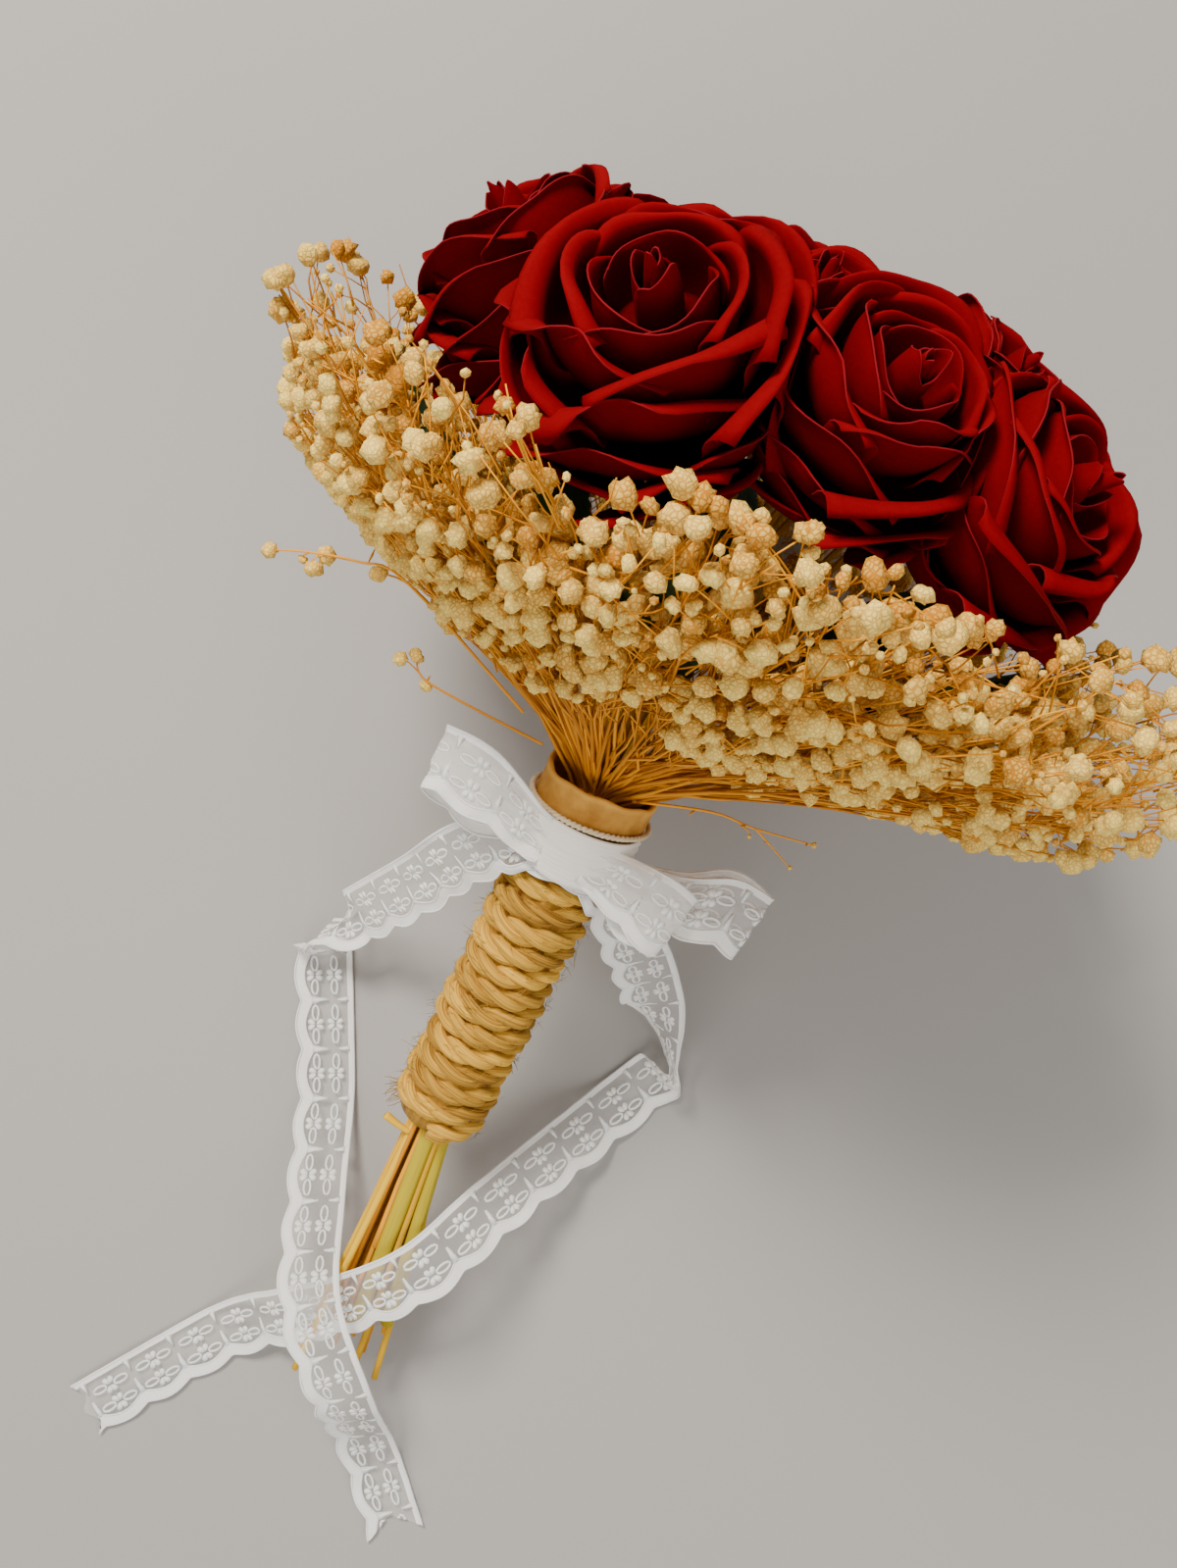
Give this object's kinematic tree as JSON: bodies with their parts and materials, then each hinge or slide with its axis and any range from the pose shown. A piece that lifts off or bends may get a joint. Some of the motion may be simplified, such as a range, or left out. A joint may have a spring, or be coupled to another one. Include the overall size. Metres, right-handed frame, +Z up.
{
  "type": "bridal bouquet",
  "caption": "Domed bouquet of dark red velvet roses in a collar of dried baby's breath, lying down, its handle wrapped in jute rope and tied with a white lace bow.",
  "frame": {"origin": "middle of the bouquet's box, on the surface that it lies on", "axes": "+X across the bouquet, +Y along it from the cut stem ends to the flowers, +Z up from the surface that it lies on"},
  "size_m": [0.3134, 0.5108, 0.2787],
  "materials": {
    "velvet_petal": "deep crimson velvet, lighter cut edges",
    "rose_stem": "matt yellow-green stem",
    "dried_blossom": "papery cream florets on golden dried stems",
    "leaf": "matt dark green",
    "binding_tape": "matt florist's tape",
    "jute_rope": "hairy twisted jute",
    "kraft_collar": "coarse kraft webbing",
    "cotton_cord": "thin twisted cotton",
    "white_lace": "sheer white net with scalloped edge"
  },
  "bodies": {
    "root": {"binding_tape": "binding_tape", "blossom_spray_01": "dried_blossom", "blossom_spray_02": "dried_blossom", "blossom_spray_03": "dried_blossom", "blossom_spray_04": "dried_blossom", "blossom_spray_05": "dried_blossom", "blossom_spray_06": "dried_blossom", "blossom_spray_07": "dried_blossom", "blossom_spray_08": "dried_blossom", "blossom_spray_09": "dried_blossom", "blossom_spray_10": "dried_blossom", "blossom_spray_11": "dried_blossom", "blossom_spray_12": "dried_blossom", "bow_knot": "white_lace", "bow_loop_back": "white_lace", "bow_loop_left": "white_lace", "bow_loop_right": "white_lace", "collar_cord": "cotton_cord", "jute_rope": "jute_rope", "kraft_collar": "kraft_collar", "lace_band": "white_lace", "lace_tail_left": "white_lace", "lace_tail_right": "white_lace", "leaf_01": "leaf", "leaf_02": "leaf", "leaf_03": "leaf", "leaf_04": "leaf", "leaf_05": "leaf", "leaf_06": "leaf", "leaf_07": "leaf", "leaf_08": "leaf", "rose_back_left": "velvet_petal", "rose_back_right": "velvet_petal", "rose_crown_back_left": "velvet_petal", "rose_crown_back_right": "velvet_petal", "rose_crown_front": "velvet_petal", "rose_crown_left": "velvet_petal", "rose_crown_middle": "velvet_petal", "rose_crown_right": "velvet_petal", "rose_front_left": "velvet_petal", "rose_front_right": "velvet_petal", "rose_left": "velvet_petal", "rose_right": "velvet_petal", "rose_stem_back_left": "rose_stem", "rose_stem_back_right": "rose_stem", "rose_stem_crown_back_left": "rose_stem", "rose_stem_crown_back_right": "rose_stem", "rose_stem_crown_front": "rose_stem", "rose_stem_crown_left": "rose_stem", "rose_stem_crown_middle": "rose_stem", "rose_stem_crown_right": "rose_stem", "rose_stem_front_left": "rose_stem", "rose_stem_front_right": "rose_stem", "rose_stem_left": "rose_stem", "rose_stem_right": "rose_stem", "rose_stem_under_left": "rose_stem", "rose_stem_under_right": "rose_stem", "rose_under_left": "velvet_petal", "rose_under_right": "velvet_petal"}
  },
  "joints": []
}
